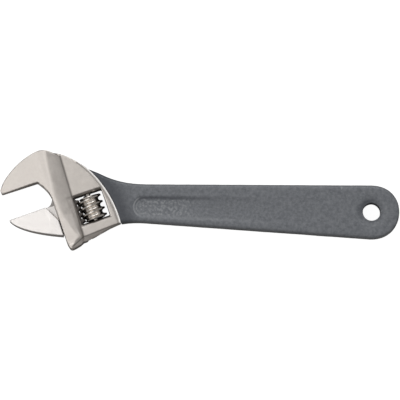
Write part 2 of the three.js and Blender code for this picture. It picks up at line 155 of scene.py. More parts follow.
# The camera and the room
VIEW_RISE = math.radians(84.5)
VIEW_ROLL = math.radians(2.2)
FRAME_WIDTH = 0.2068  # what the frame takes in, at the object
AIM_FROM_HOLE = (-0.08862, 0.00652)  # the frame's centre from the hanging hole, across and up the frame
CAMERA_DISTANCE = 2.4
SENSOR = 36.0

# Colours shared by the metal finishes
# the black of oil and painted shade
OIL_AND_SHADE_BLACK = (0.055, 0.047, 0.042)
# the steel of the collar's burnish and painted highlight
BURNISH_AND_HIGHLIGHT_STEEL = (0.97, 0.96, 0.95)

joints = {joint["name"]: joint for joint in frame["joints"]}
ALONG_V = Vector(joints["jaw_slide"]["axis"]).normalized()
ALONG_U = ALONG_V.cross(UP)
WORM_CENTRE = Vector(joints["knurl_spin"]["pos_m"]) - WORM_MIDDLE_V * MM * ALONG_V
HEAD_TURN = Matrix((ALONG_U, ALONG_V, UP)).transposed().to_4x4()
HEAD = Matrix.Translation(WORM_CENTRE) @ HEAD_TURN @ Matrix.Scale(MM, 4)
HEAD_PLAN = HEAD.inverted()


def at_handle(x, y, z=0.0):
    """A place given in millimetres along and across the handle, in the row frame."""
    return WORM_CENTRE + Vector((x, y, z)) * MM


# ---------------------------------------------------------------- shaping


def merged_copy(node):
    """A copy of a CAD node's surface with its doubled corners merged."""
    bm = bmesh.new()
    bm.from_mesh(frame["nodes"][node].data)
    bmesh.ops.remove_doubles(bm, verts=bm.verts, dist=2e-6)
    return bm


def halved(bm, point, normal):
    """What lies behind a plane, closed over the cut."""
    geom = bm.verts[:] + bm.edges[:] + bm.faces[:]
    bmesh.ops.bisect_plane(bm, geom=geom, dist=1e-7, plane_co=point, plane_no=normal, clear_outer=True)
    bmesh.ops.holes_fill(bm, edges=[edge for edge in bm.edges if edge.is_boundary], sides=0)
    return bm


def through_modifiers(bm, steps):
    """The shape after a row of modifiers, each given as its kind and its settings."""
    mesh = bpy.data.meshes.new("shaping")
    bm.to_mesh(mesh)
    bm.free()
    worked = bpy.data.objects.new("shaping", mesh)
    bpy.context.scene.collection.objects.link(worked)
    for kind, settings in steps:
        modifier = worked.modifiers.new(kind.lower(), kind)
        for name, value in settings.items():
            setattr(modifier, name, value)
    graph = bpy.context.evaluated_depsgraph_get()
    graph.update()
    made = bmesh.new()
    made.from_object(worked, graph)
    bpy.data.objects.remove(worked)
    bpy.data.meshes.remove(mesh)
    return made


def even_skin(bm, cell, rounds):
    """The solid under an even skin of small faces, with its edges rounded by so many smoothing rounds."""
    return through_modifiers(
        bm,
        [
            ("REMESH", {"mode": "VOXEL", "voxel_size": cell * MM, "use_smooth_shade": True}),
            ("SMOOTH", {"factor": 0.5, "iterations": rounds}),
        ],
    )


def carved(bm, cutter):
    """The shape with a cutter taken out of it."""
    mesh = bpy.data.meshes.new("cutter")
    cutter.to_mesh(mesh)
    cutter.free()
    tool = bpy.data.objects.new("cutter", mesh)
    bpy.context.scene.collection.objects.link(tool)
    cut = {"object": tool, "operation": "DIFFERENCE", "solver": "EXACT"}
    made = through_modifiers(bm, [("BOOLEAN", cut)])
    bpy.data.objects.remove(tool)
    bpy.data.meshes.remove(mesh)
    return made


def roughen(bm, size, depth, seed, where=None):
    """Works a low uneven relief into the surface. It only ever goes inwards."""
    bm.normal_update()
    for vert in bm.verts:
        share = 1.0 if where is None else where(vert.co)
        if share <= 0:
            continue
        place = vert.co / (size * MM) + Vector((seed, 1.7 * seed, 0.3 * seed))
        level = 0.5 + 0.5 * noise.noise(place)
        vert.co -= vert.normal * (share * depth * MM * level)


def crease_sharply(bm, angle, where=None):
    """Edges that turn by more than the angle stay crisp, and the rest are shaded smooth."""
    limit = math.radians(angle)
    for face in bm.faces:
        face.smooth = True
    for edge in bm.edges:
        turns = edge.is_manifold and edge.calc_face_angle(0.0) > limit
        edge.smooth = not (turns and (where is None or where(edge.verts[0].co)))


def settle(bm, where, rounds):
    """Smooths the part of a skin that a test picks."""
    chosen = [vert for vert in bm.verts if where(vert.co)]
    for _ in range(rounds):
        bmesh.ops.smooth_vert(bm, verts=chosen, factor=0.5, use_axis_x=True, use_axis_y=True, use_axis_z=True)


def shade_smooth(bm):
    for face in bm.faces:
        face.smooth = True


def seat_head(bm):
    """Turns a piece from the head's plan to its place."""
    bmesh.ops.transform(bm, matrix=HEAD, verts=bm.verts)


def finished(bm, name, materials, body, node):
    """A finished piece that rides on a body and stands for its CAD node."""
    mesh = bpy.data.meshes.new(name)
    bm.to_mesh(mesh)
    bm.free()
    for material in materials:
        mesh.materials.append(material)
    piece = bpy.data.objects.new(name, mesh)
    bpy.context.scene.collection.objects.link(piece)
    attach(piece, body)
    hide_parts(node)
    return piece


def collar_reach(place):
    """How far a place is from the centre of the collar's arc, in millimetres."""
    flat = HEAD_PLAN @ place
    return math.hypot(flat.x - COLLAR_CENTRE[0], flat.y - COLLAR_CENTRE[1])


def smooth_step(low, high, value):
    share = min(1.0, max(0.0, (value - low) / (high - low)))
    return share * share * (3 - 2 * share)


# ---------------------------------------------------------------- forged body


def shape_collar(bm):
    """The collar swells from the web as a fillet, with a fine groove along its foot."""
    for vert in bm.verts:
        flat = HEAD_PLAN @ vert.co
        reach = math.hypot(flat.x - COLLAR_CENTRE[0], flat.y - COLLAR_CENTRE[1])
        by_collar = COLLAR_RISE_FROM - 1.6 < reach < COLLAR_OUTER + 0.2
        if abs(flat.z) < WEB_HALF - 0.35 or flat.x < 0 or not by_collar:
            continue
        share = (reach - COLLAR_RISE_FROM) / (COLLAR_OUTER - COLLAR_RISE_FROM)
        swell = COLLAR_RISE * min(1.0, max(0.0, share))
        groove = CREASE_GROOVE * math.exp(-(((reach - COLLAR_RISE_FROM + 0.2) / 0.3) ** 2))
        height = WEB_HALF + swell - groove
        vert.co = HEAD @ Vector((flat.x, flat.y, math.copysign(min(height, abs(flat.z) + 0.3), flat.z)))


def along_line(points, v):
    """Where a line of (v, u) points stands at v."""
    for (low, start), (high, end) in zip(points, points[1:]):
        if v <= high:
            share = min(1.0, max(0.0, (v - low) / (high - low)))
            return start + (end - start) * share
    return points[-1][1]


def flank_drop(across, width):
    """How far a round flank of this width has fallen from its crest."""
    full = math.asin((FLANK_FOOT - FLANK_CREST) / FLANK_RADIUS)
    share = min(1.0, max(0.0, across / width))
    return (RIDGE_HALF - WEB_HALF) * (1 - math.cos(share * full)) / (1 - math.cos(full))


def shape_ridge(bm):
    """The ridge's crest wanders towards the window at its lower end, and its top leans to the jaws."""
    for vert in bm.verts:
        flat = HEAD_PLAN @ vert.co
        u, v, z = flat
        foot = FLANK_FOOT + FLANK_LEAN * v
        if u > foot or u < -34 or abs(z) < WEB_HALF:
            continue
        crest = along_line(RIDGE_CREST, v)
        made_crest = FLANK_CREST + FLANK_LEAN * v
        jaw_lean = RIDGE_LEAN * max(0.0, RIDGE_LEFT - u)
        was = RIDGE_HALF - flank_drop(u - made_crest, foot - made_crest) - jaw_lean
        lean = RIDGE_LEAN * max(0.0, crest - max(u, RIDGE_LEFT))
        wanted = RIDGE_HALF - flank_drop(u - crest, max(foot - crest, 1.2)) - lean - jaw_lean
        fade = smooth_step(-34, -19, u)
        skin = smooth_step(was - 1.5, was - 0.5, abs(z))
        lower_end = smooth_step(-16.2, -13.5, v)
        raised = abs(z) + (wanted - was) * fade * skin * lower_end
        vert.co = HEAD @ Vector((u, v, math.copysign(min(raised, RIDGE_HALF), z)))


def line_distance(u, v, start, end):
    """How far a place in the head's plan is from a straight line between two others."""
    along = Vector(end) - Vector(start)
    out = Vector((u, v)) - Vector(start)
    share = min(1.0, max(0.0, out.dot(along) / along.length_squared))
    return (out - along * share).length


def body_oil_and_shade(place):
    """How dark the plating is painted, oil together with painted shade: brown in the window going black
    deeper down, brown in bore and slot, dark along the creases and the collar's groove.
    """
    u, v, z = HEAD_PLAN @ place
    # The window is painted brown going to black deeper down: oil and painted shade.
    if abs(u) < WINDOW_HALF_U and abs(v) < WINDOW_HALF_V:
        return BROWN + (BLACK - BROWN) * smooth_step(0.4, 1.3, WEB_HALF - abs(z))
    in_slot = RIDGE_LEFT - 0.5 < u < BORE_U and abs(z) < 2.75 and v < 25
    if math.hypot(u - BORE_U, z) < BORE_RADIUS + 0.2 or in_slot:
        return BROWN
    if abs(z) < 3.8 or u > 20:
        return 0.0
    # Painted shade along the creases and along the collar's groove.
    near = min(line_distance(u, v, start, end) / width for start, end, width in CREASE_SHADE_LINES)
    groove = abs(collar_reach(place) - COLLAR_RISE_FROM + 0.2) / 0.4 if u > 0 else 1.0
    return 0.6 * (1 - smooth_step(0.15, 1.0, min(near, groove)))


def collar_burnish_and_highlight(place):
    """How bright the collar's fillet is painted: burnish together with a painted highlight."""
    flat = HEAD_PLAN @ place
    if flat.x < 0 or abs(flat.z) < WEB_HALF - 0.1:
        return 0.0
    return smooth_step(COLLAR_RISE_FROM, COLLAR_RISE_FROM + 0.5, collar_reach(place))


def mark(piece, name, amount):
    """Marks a piece's surface with an amount worked out from each place on it."""
    marks = piece.data.attributes.new(name, "FLOAT", "POINT")
    for index, vert in enumerate(piece.data.vertices):
        marks.data[index].value = amount(vert.co)


def at_lower_end(place):
    """True round the bore's mouth, where the walls run thin."""
    u, v, _ = HEAD_PLAN @ place
    return v < -12.5 and u < -3


def on_crest(place):
    """True along the rounded crest of the ridge."""
    u, v, z = HEAD_PLAN @ place
    return abs(z) > WEB_HALF + 0.8 and abs(u - along_line(RIDGE_CREST, v)) < 1.3


def bore_rod(grown, low, high):
    """A round rod along the bore over this stretch."""
    radius = BORE_RADIUS + grown
    bm = bmesh.new()
    bmesh.ops.create_cone(bm, cap_ends=True, segments=96, radius1=radius, radius2=radius, depth=high - low)
    bmesh.ops.rotate(bm, verts=bm.verts, cent=(0, 0, 0), matrix=Matrix.Rotation(math.pi / 2, 3, "X"))
    bmesh.ops.translate(bm, verts=bm.verts, vec=(BORE_U, (low + high) / 2, 0))
    seat_head(bm)
    return bm


def square_bar(left, right, half, low, high):
    """A square bar along the bore, between two places across it and over this stretch."""
    bm = bmesh.new()
    bmesh.ops.create_cube(bm, size=1)
    bmesh.ops.scale(bm, vec=(right - left, high - low, 2 * half), verts=bm.verts)
    bmesh.ops.translate(bm, verts=bm.verts, vec=((left + right) / 2, (low + high) / 2, 0))
    seat_head(bm)
    return bm


def joined(bm, other):
    """One shape with the other's shells beside its own."""
    mesh = bpy.data.meshes.new("shell")
    other.to_mesh(mesh)
    other.free()
    bm.from_mesh(mesh)
    bpy.data.meshes.remove(mesh)
    return bm


def make_body(material):
    cut = at_handle(CORE_CUT_X, 0)
    head = halved(merged_copy("body"), cut, (1, 0, 0))
    end = HEAD @ Vector((*LOWER_END, 0))
    outward = HEAD.to_3x3() @ Vector((*LOWER_END_OUT, 0))
    bore_plug = bore_rod(-PLUG_SLACK, PLUG_END, BORE_MOUTH)
    bore_plug = halved(bore_plug, HEAD @ Vector((PLUG_LEFT, 0, 0)), -ALONG_U)
    plug_right, plug_half = RACK_CHANNEL_U - PLUG_SLACK, RACK_CHANNEL_HALF - PLUG_SLACK
    rack_plug = square_bar(BORE_U, plug_right, plug_half, PLUG_END, BORE_MOUTH)
    for plug in (bore_plug, rack_plug):
        head = joined(head, halved(plug, end, outward))
    head = even_skin(head, SKIN_CELL, 3)
    shape_ridge(head)
    shape_collar(head)
    settle(head, lambda place: True, 2)
    settle(head, at_lower_end, 3)
    settle(head, on_crest, 8)
    inner = BORE_MOUTH + MOUTH_OVERLAP
    head = carved(head, bore_rod(CUT_SLACK, CUT_END, inner))
    cut_right, cut_half = RACK_CHANNEL_U + CUT_SLACK, RACK_CHANNEL_HALF + CUT_SLACK
    head = carved(head, square_bar(BORE_U, cut_right, cut_half, CUT_END, inner))
    roughen(head, 7.0, 0.05, 11)
    roughen(head, 0.9, 0.02, 23)
    core = halved(merged_copy("body"), cut - Vector((CORE_OVERLAP * MM, 0, 0)), (-1, 0, 0))
    head = joined(head, core)
    crease_sharply(head, 50, at_lower_end)
    body = finished(head, "forged_body", [material], "frame", "body")
    # Oil and painted shade in the window, bore, slot and creases.
    mark(body, "grime_and_shade", body_oil_and_shade)
    # Burnish and a painted highlight along the collar's fillet.
    mark(body, "burnish_and_highlight", collar_burnish_and_highlight)
    return body


# ---------------------------------------------------------------- sliding jaw


def jaw_oil_and_shade(place):
    """How dark the jaw is painted, oil together with painted shade: black on the rack, brown on the neck and
    the runner.
    """
    u, v, z = HEAD_PLAN @ place
    if u > -8.6:
        return BLACK
    on_neck = u > -25.5 and v > 6.8 and abs(z) < 2.45
    return BROWN if u > -18.2 or on_neck else 0.0


def lean_jaw(bm):
    """The jaw's sides fall towards its tip all the way from the body."""
    for vert in bm.verts:
        u, v, z = HEAD_PLAN @ vert.co
        if u > JAW_RIGHT + 0.4 or abs(z) < 3:
            continue
        root = JAW_LEAN * min(JAW_RIGHT - u, JAW_RIGHT - JAW_FOLD)
        drop = root * (1 - min(1.0, max(0.0, (JAW_FOLD - u) / (JAW_FOLD - JAW_FADE))))
        vert.co = HEAD @ Vector((u, v, z - math.copysign(drop * smooth_step(3, 4.4, abs(z)), z)))


def make_jaw(material):
    jaw = even_skin(merged_copy("movable_jaw"), JAW_SKIN_CELL, 3)
    lean_jaw(jaw)
    settle(jaw, lambda place: True, 2)
    roughen(jaw, 6.0, 0.03, 41)
    roughen(jaw, 0.7, 0.012, 53)
    shade_smooth(jaw)
    jaw = finished(jaw, "sliding_jaw", [material], "jaw", "movable_jaw")
    # Oil and painted shade on the rack, neck and runner.
    mark(jaw, "grime_and_shade", jaw_oil_and_shade)
    return jaw


# ---------------------------------------------------------------- worm, pin and spring


def groove_profile():
    """The worm's groove and ridge over one pitch, from groove middle to groove middle, as (v, radius)."""
    half_crest = 0.34
    half_foot = 0.95
    depth = WORM_RADIUS - WORM_ROOT
    places = []
    hollow_steps = 12
    for step in range(hollow_steps + 1):
        share = step / hollow_steps
        v = share * (WORM_PITCH / 2 - half_foot)
        places.append((v, WORM_ROOT + 0.3 * share * share))
    flank = [(0.28, 0.55), (0.22, 0.8), (0.12, 0.93), (0.0, 1.0)]
    for across, rise in flank:
        places.append((WORM_PITCH / 2 - half_crest - across, WORM_ROOT + depth * rise))
    mirrored = [(WORM_PITCH - v, radius) for v, radius in reversed(places)]
    return places + mirrored


def stepped(bm, rim, along, inward=0.0, radius=None):
    """Extrudes a rim by a step along the axis and inwards, or to a radius, and gives the new rim."""
    made = bmesh.ops.extrude_edge_only(bm, edges=rim)["geom"]
    fresh = {part for part in made if isinstance(part, bmesh.types.BMVert)}
    for vert in fresh:
        reach = math.hypot(vert.co.x, vert.co.z)
        wanted = reach - inward if radius is None else radius
        vert.co.x *= wanted / reach
        vert.co.z *= wanted / reach
        vert.co.y += along
    return [edge for edge in bm.edges if edge.is_boundary and all(vert in fresh for vert in edge.verts)]


def trimmed_end(bm, v, outward):
    """Cuts the worm off square and rounds the cut's edge. Gives the rim of the rounded end."""
    geom = bm.verts[:] + bm.edges[:] + bm.faces[:]
    start = v - outward * 0.2
    bmesh.ops.bisect_plane(
        bm, geom=geom, dist=1e-5, plane_co=(0, start, 0), plane_no=(0, outward, 0), clear_outer=True
    )
    rim = [edge for edge in bm.edges if edge.is_boundary and abs(edge.verts[0].co.y - start) < 1e-3
           and abs(edge.verts[1].co.y - start) < 1e-3]
    for along, inward in ((0.1, 0.03), (0.07, 0.07), (0.03, 0.12)):
        rim = stepped(bm, rim, outward * along, inward)
    return rim


def thread_grime(place):
    """The thread's crest is duller than its groove."""
    flat = HEAD_PLAN @ place
    return 0.32 * smooth_step(5.6, 6.3, math.hypot(flat.x, flat.z))


def make_worm(material):
    bm = bmesh.new()
    turns = 6
    start = WORM_CREST_V - WORM_PITCH / 4 - WORM_PITCH / 2 - 3 * WORM_PITCH
    chain = [bm.verts.new((0, start + v, radius)) for v, radius in groove_profile()]
    edges = [bm.edges.new(pair) for pair in zip(chain, chain[1:])]
    bmesh.ops.spin(
        bm,
        geom=chain + edges,
        cent=(0, 0, 0),
        axis=(0, 1, 0),
        dvec=(0, WORM_PITCH / STEPS_PER_TURN, 0),
        angle=2 * math.pi * turns,
        steps=turns * STEPS_PER_TURN,
    )
    bmesh.ops.remove_doubles(bm, verts=bm.verts, dist=2e-3)
    lower = trimmed_end(bm, WORM_BOTTOM, -1)
    upper = trimmed_end(bm, WORM_TOP, 1)
    upper = stepped(bm, upper, 0, radius=SPRING_SEAT_RADIUS)
    upper = stepped(bm, upper, SPRING_SEAT_V - WORM_TOP)
    upper = stepped(bm, upper, 0, radius=WORM_BORE)
    lower = stepped(bm, lower, 0, radius=WORM_BORE)
    bmesh.ops.bridge_loops(bm, edges=upper + lower)
    bmesh.ops.recalc_face_normals(bm, faces=bm.faces)
    crease_sharply(bm, 32)
    seat_head(bm)
    worm = finished(bm, "worm", [material], "worm", "knurl")
    mark(worm, "grime_and_shade", thread_grime)
    return worm


def make_pin(material):
    bm = bmesh.new()
    head_top = PIN_BOTTOM + PIN_HEAD_LENGTH
    outline = [
        (0, PIN_BOTTOM),
        (PIN_HEAD_RADIUS - 0.35, PIN_BOTTOM),
        (PIN_HEAD_RADIUS - 0.1, PIN_BOTTOM + 0.1),
        (PIN_HEAD_RADIUS, PIN_BOTTOM + 0.35),
        (PIN_HEAD_RADIUS, head_top),
        (PIN_RADIUS, head_top),
        (PIN_RADIUS, PIN_TOP - 0.4),
        (PIN_RADIUS - 0.35, PIN_TOP),
        (0, PIN_TOP),
    ]
    chain = [bm.verts.new((0, v, radius)) for radius, v in outline]
    edges = [bm.edges.new(pair) for pair in zip(chain, chain[1:])]
    bmesh.ops.spin(
        bm, geom=chain + edges, cent=(0, 0, 0), axis=(0, 1, 0), angle=2 * math.pi, steps=64, use_merge=True
    )
    bmesh.ops.remove_doubles(bm, verts=bm.verts, dist=1e-4)
    bmesh.ops.recalc_face_normals(bm, faces=bm.faces)
    blade = bmesh.new()
    bmesh.ops.create_cube(blade, size=1)
    bmesh.ops.scale(blade, vec=(8, 2 * PIN_SLOT_DEPTH, PIN_SLOT_WIDTH), verts=blade.verts)
    bmesh.ops.translate(blade, vec=(0, PIN_BOTTOM, 0), verts=blade.verts)
    bm = carved(bm, blade)
    crease_sharply(bm, 32)
    seat_head(bm)
    return finished(bm, "worm_pin", [material], "frame", "knurl_pin")


def make_spring(material):
    bm = bmesh.new()
    steps = 48 * SPRING_TURNS
    ring = bmesh.ops.create_circle(bm, segments=16, radius=SPRING_WIRE / 2)["verts"]
    bmesh.ops.rotate(bm, verts=ring, cent=(0, 0, 0), matrix=Matrix.Rotation(math.pi / 2, 3, "Y"))
    bmesh.ops.translate(bm, verts=ring, vec=(0, SPRING_LOW, SPRING_RADIUS))
    bmesh.ops.spin(
        bm,
        geom=bm.verts[:] + bm.edges[:],
        cent=(0, 0, 0),
        axis=(0, 1, 0),
        dvec=(0, (SPRING_HIGH - SPRING_LOW) / steps, 0),
        angle=2 * math.pi * SPRING_TURNS,
        steps=steps,
    )
    bmesh.ops.holes_fill(bm, edges=[edge for edge in bm.edges if edge.is_boundary], sides=0)
    bmesh.ops.recalc_face_normals(bm, faces=bm.faces)
    crease_sharply(bm, 40)
    seat_head(bm)
    return finished(bm, "worm_spring", [material], "frame", "knurl_spring")


# ---------------------------------------------------------------- dipped grip


def close_grip_front(bm):
    """Draws the grip's front lip up to the collar."""
    for vert in bm.verts:
        flat = HEAD_PLAN @ vert.co
        across = Vector((flat.x - COLLAR_CENTRE[0], flat.y - COLLAR_CENTRE[1], 0))
        reach = across.length
        if reach > GRIP_FRONT + 3:
            continue
        pull = (GRIP_FRONT - COLLAR_OUTER + 0.05) * (1 - smooth_step(GRIP_FRONT, GRIP_FRONT + 2.5, reach))
        moved = flat - across.normalized() * pull
        vert.co = HEAD @ moved


def inside_panel(x, y):
    """How far a place on the handle is inside the sunk panel's outline; negative outside it."""
    share = min(1.0, max(0.0, (x - PANEL_LEFT[0]) / (PANEL_RIGHT[0] - PANEL_LEFT[0])))
    ends = zip(PANEL_LEFT, PANEL_RIGHT)
    middle_x, middle_y, radius = (start + (end - start) * share for start, end in ends)
    return radius - math.hypot(x - middle_x, y - middle_y)


def edge_room(x, y):
    """How far a place on the handle is from its nearer long edge."""
    half = NECK_HALF + (END_HALF - NECK_HALF) * (x - NECK_X) / (HOLE_X - NECK_X)
    return half - abs(y)


def soften_panel(bm):
    """The dip rounds the sunk panel off, and fills it more and more towards the hanging hole."""
    bm.normal_update()
    for vert in bm.verts:
        flat = (vert.co - WORM_CENTRE) / MM
        x, y, z = flat.x, flat.y - HANDLE_Y, flat.z
        side = math.copysign(1, z)
        inside = inside_panel(x, y)
        if vert.normal.z * side < 0.2 or abs(z) < 4:
            continue
        if RIM_START < x < 124 and abs(y) < 12.5:
            depth = PANEL_DEEP + (PANEL_SHALLOW - PANEL_DEEP) * smooth_step(30, 125, x)
            hollow = 0.55 * smooth_step(-1.2, 1.5, inside) + 0.45 * smooth_step(-0.5, 5.5, inside)
            blend = smooth_step(RIM_START, RIM_START + 4, x) * (1 - smooth_step(-2.6, -1.6, -edge_room(x, y)))
            wanted = GRIP_HALF - depth * hollow
            vert.co.z = WORM_CENTRE.z + side * (abs(z) + (wanted - abs(z)) * blend) * MM
        reach = math.hypot(x - HOLE_X, y)
        if HOLE_RADIUS + 0.6 < reach < DISH_RADIUS:
            sunk = DISH_DEPTH * (1 - smooth_step(HOLE_RADIUS, DISH_RADIUS, reach))
            vert.co.z = WORM_CENTRE.z + side * min(abs(z), GRIP_HALF - sunk) * MM


def rubbed_vinyl(place):
    """How light the vinyl is rubbed over the left part of the panel."""
    flat = (place - WORM_CENTRE) / MM
    x, y = flat.x, flat.y - HANDLE_Y
    inside = inside_panel(x, y)
    return 0.6 * smooth_step(0.2, 2.0, inside) * smooth_step(20, 27, x) * (1 - smooth_step(42, 62, x))


def bead_highlights_and_scuff(place):
    """The light lines: painted highlights on two beads round the panel's left end, and one small scuff by the
    upper edge.
    """
    flat = (place - WORM_CENTRE) / MM
    x, y = flat.x, flat.y - HANDLE_Y
    inside = inside_panel(x, y)
    beads = max(1 - abs(inside - 0.2) / 0.45, 0.8 - abs(inside - 1.6) / 0.45)
    beads *= 1 - smooth_step(23.0, 25.5, x)
    scuff = 1 - math.hypot(x - SCUFF[0], (y - SCUFF[1]) / 2) / 0.6
    return max(beads, scuff, 0.0)


def grip_shade(place):
    """Where the grip is painted darker as shade: by the collar, under the panel's upper rim, and round the
    hanging hole, most at its upper left.
    """
    flat = (place - WORM_CENTRE) / MM
    x, y = flat.x - HOLE_X, flat.y - HANDLE_Y
    reach = math.hypot(x, y)
    facing = max(0.0, (0.8 * y - 0.6 * x) / max(reach, 1.0))
    by_hole = (0.25 + 0.75 * facing) * (1 - smooth_step(HOLE_RADIUS + 0.6, HOLE_RADIUS + 3.6, reach))
    inside = inside_panel(flat.x, y)
    by_rim = 1 - smooth_step(0, 1.6, abs(inside - 0.5))
    under_rim = 0.8 * by_rim * smooth_step(-1, 1.5, y) * (1 - smooth_step(34, 75, flat.x))
    return max(by_hole, under_rim, 1 - smooth_step(1.0, 11.0, collar_reach(place) - GRIP_FRONT))


def make_grip(material):
    bm = even_skin(merged_copy("grip"), GRIP_SKIN_CELL, 4)
    soften_panel(bm)
    settle(bm, lambda place: True, 1)
    close_grip_front(bm)
    roughen(bm, 11.0, 0.16, 67)
    roughen(bm, 1.6, 0.07, 71)
    shade_smooth(bm)
    grip = finished(bm, "vinyl_grip", [material], "frame", "grip")
    mark(grip, "rubbed", rubbed_vinyl)
    # Painted highlights on the panel's two beads, and a small scuff.
    mark(grip, "bead_highlight_and_scuff", bead_highlights_and_scuff)
    # Painted shade by the collar, under the panel's rim and round the hanging hole.
    mark(grip, "grip_shade", grip_shade)
    return grip


# ---------------------------------------------------------------- finishes


def add(tree, kind, place=(0, 0), **settings):
    """A node with its plain settings; a socket's value is given by the socket's name in the inputs entry."""
    made = tree.nodes.new(kind)
    made.location = place
    for socket, value in settings.pop("inputs", {}).items():
        made.inputs[socket].default_value = value
    for name, value in settings.items():
        setattr(made, name, value)
    return made


def group_sockets(tree, inputs, outputs):
    for name, kind, value in inputs:
        socket = tree.interface.new_socket(name=name, in_out="INPUT", socket_type=kind)
        if value is not None:
            socket.default_value = value
    for name, kind in outputs:
        tree.interface.new_socket(name=name, in_out="OUTPUT", socket_type=kind)
    return tree.nodes.new("NodeGroupInput"), tree.nodes.new("NodeGroupOutput")


def forging_grain_group():
    """Fine blasted grain, broad unevenness and small pits, as heights and masks over the surface."""
    tree = bpy.data.node_groups.new("forging_grain", "ShaderNodeTree")
    given, result = group_sockets(
        tree,
        [
            ("Vector", "NodeSocketVector", None),
            ("Grain Scale", "NodeSocketFloat", 2600.0),
            ("Mottle Scale", "NodeSocketFloat", 420.0),
            ("Pit Share", "NodeSocketFloat", 0.3),
        ],
        [("Height", "NodeSocketFloat"), ("Mottle", "NodeSocketFloat"), ("Pits", "NodeSocketFloat")],
    )
    link = tree.links.new
    grain = add(tree, "ShaderNodeTexNoise", (-400, 200), inputs={"Detail": 3.0, "Roughness": 0.6})
    mottle = add(tree, "ShaderNodeTexNoise", (-400, -50), inputs={"Detail": 4.0, "Roughness": 0.65})
    pits = add(tree, "ShaderNodeTexVoronoi", (-400, -300))
    pit_mask = add(tree, "ShaderNodeMapRange", (-180, -300), inputs={"From Min": 0.0, "From Max": 0.22})
    pit_mask.inputs["To Min"].default_value = 1.0
    pit_mask.inputs["To Max"].default_value = 0.0
    pit_amount = add(tree, "ShaderNodeMath", (0, -300), operation="MULTIPLY")
    sink = add(tree, "ShaderNodeMath", (180, 100), operation="SUBTRACT")
    for texture in (grain, mottle, pits):
        link(given.outputs["Vector"], texture.inputs["Vector"])
    link(given.outputs["Grain Scale"], grain.inputs["Scale"])
    link(given.outputs["Mottle Scale"], mottle.inputs["Scale"])
    link(given.outputs["Mottle Scale"], pits.inputs["Scale"])
    link(pits.outputs["Distance"], pit_mask.inputs["Value"])
    link(pit_mask.outputs["Result"], pit_amount.inputs[0])
    link(given.outputs["Pit Share"], pit_amount.inputs[1])
    link(grain.outputs["Fac"], sink.inputs[0])
    link(pit_amount.outputs["Value"], sink.inputs[1])
    link(sink.outputs["Value"], result.inputs["Height"])
    link(mottle.outputs["Fac"], result.inputs["Mottle"])
    link(pit_amount.outputs["Value"], result.inputs["Pits"])
    return tree


def edge_wear_and_crease_shade_group():
    """Masks of the worn high edges and of the creases, darkened by dirt and painted shade, broken up by a
    noise.
    """
    tree = bpy.data.node_groups.new("edge_wear_and_crease_shade", "ShaderNodeTree")
    given, result = group_sockets(
        tree,
        [
            ("Vector", "NodeSocketVector", None),
            ("Edge Start", "NodeSocketFloat", 0.53),
            ("Edge Full", "NodeSocketFloat", 0.62),
            ("Crease Start", "NodeSocketFloat", 0.47),
            ("Crease Full", "NodeSocketFloat", 0.38),
        ],
        [("Edge", "NodeSocketFloat"), ("Crease", "NodeSocketFloat")],
    )
    link = tree.links.new
    shape = add(tree, "ShaderNodeNewGeometry", (-500, 100))
    breakup = add(tree, "ShaderNodeTexNoise", (-500, -200), inputs={"Scale": 700.0, "Detail": 3.0})
    patch_range = {"From Min": 0.3, "From Max": 0.6, "To Min": 0.55, "To Max": 1.0}
    patch = add(tree, "ShaderNodeMapRange", (-300, -200), inputs=patch_range)
    link(given.outputs["Vector"], breakup.inputs["Vector"])
    link(breakup.outputs["Fac"], patch.inputs["Value"])
    for output in ("Edge", "Crease"):
        start, full = f"{output} Start", f"{output} Full"
        mask = add(tree, "ShaderNodeMapRange", (-280, 100))
        amount = add(tree, "ShaderNodeMath", (-80, 100), operation="MULTIPLY")
        link(shape.outputs["Pointiness"], mask.inputs["Value"])
        link(given.outputs[start], mask.inputs["From Min"])
        link(given.outputs[full], mask.inputs["From Max"])
        link(mask.outputs["Result"], amount.inputs[0])
        link(patch.outputs["Result"], amount.inputs[1])
        link(amount.outputs["Value"], result.inputs[output])
    return tree


GRAIN = forging_grain_group()
WEAR_AND_CREASE_SHADE = edge_wear_and_crease_shade_group()


def new_finish(name, metallic, roughness, **sockets):
    """A finish with its shader, and the object's own coordinates through a Mapping node."""
    material = bpy.data.materials.new(name)
    material.use_nodes = True
    tree = material.node_tree
    shader = tree.nodes["Principled BSDF"]
    shader.inputs["Metallic"].default_value = metallic
    shader.inputs["Roughness"].default_value = roughness
    for socket, value in sockets.items():
        shader.inputs[socket.replace("_", " ")].default_value = value
    coordinates = add(tree, "ShaderNodeTexCoord", (-1200, 0))
    mapping = add(tree, "ShaderNodeMapping", (-1020, 0))
    tree.links.new(coordinates.outputs["Object"], mapping.inputs["Vector"])
    return material, tree, shader, mapping


def placed(tree, group, vector, place, **values):
    made = add(tree, "ShaderNodeGroup", place, node_tree=group)
    for socket, value in values.items():
        made.inputs[socket.replace("_", " ")].default_value = value
    tree.links.new(vector, made.inputs["Vector"])
    return made


def tinted(tree, mask, dark, light, place):
    """A colour that goes from dark to light over a mask."""
    mix = add(tree, "ShaderNodeMix", place, data_type="RGBA")
    mix.inputs[6].default_value = (*dark, 1)
    mix.inputs[7].default_value = (*light, 1)
    tree.links.new(mask, mix.inputs[0])
    return mix


def overlaid(tree, below, mask, colour, share, place):
    """A colour laid over another where the mask is, at most by the share."""
    amount = add(tree, "ShaderNodeMath", (place[0], place[1] - 160), operation="MULTIPLY", inputs={1: share})
    mix = add(tree, "ShaderNodeMix", place, data_type="RGBA")
    mix.inputs[7].default_value = (*colour, 1)
    tree.links.new(mask, amount.inputs[0])
    tree.links.new(amount.outputs["Value"], mix.inputs[0])
    tree.links.new(below, mix.inputs[6])
    return mix


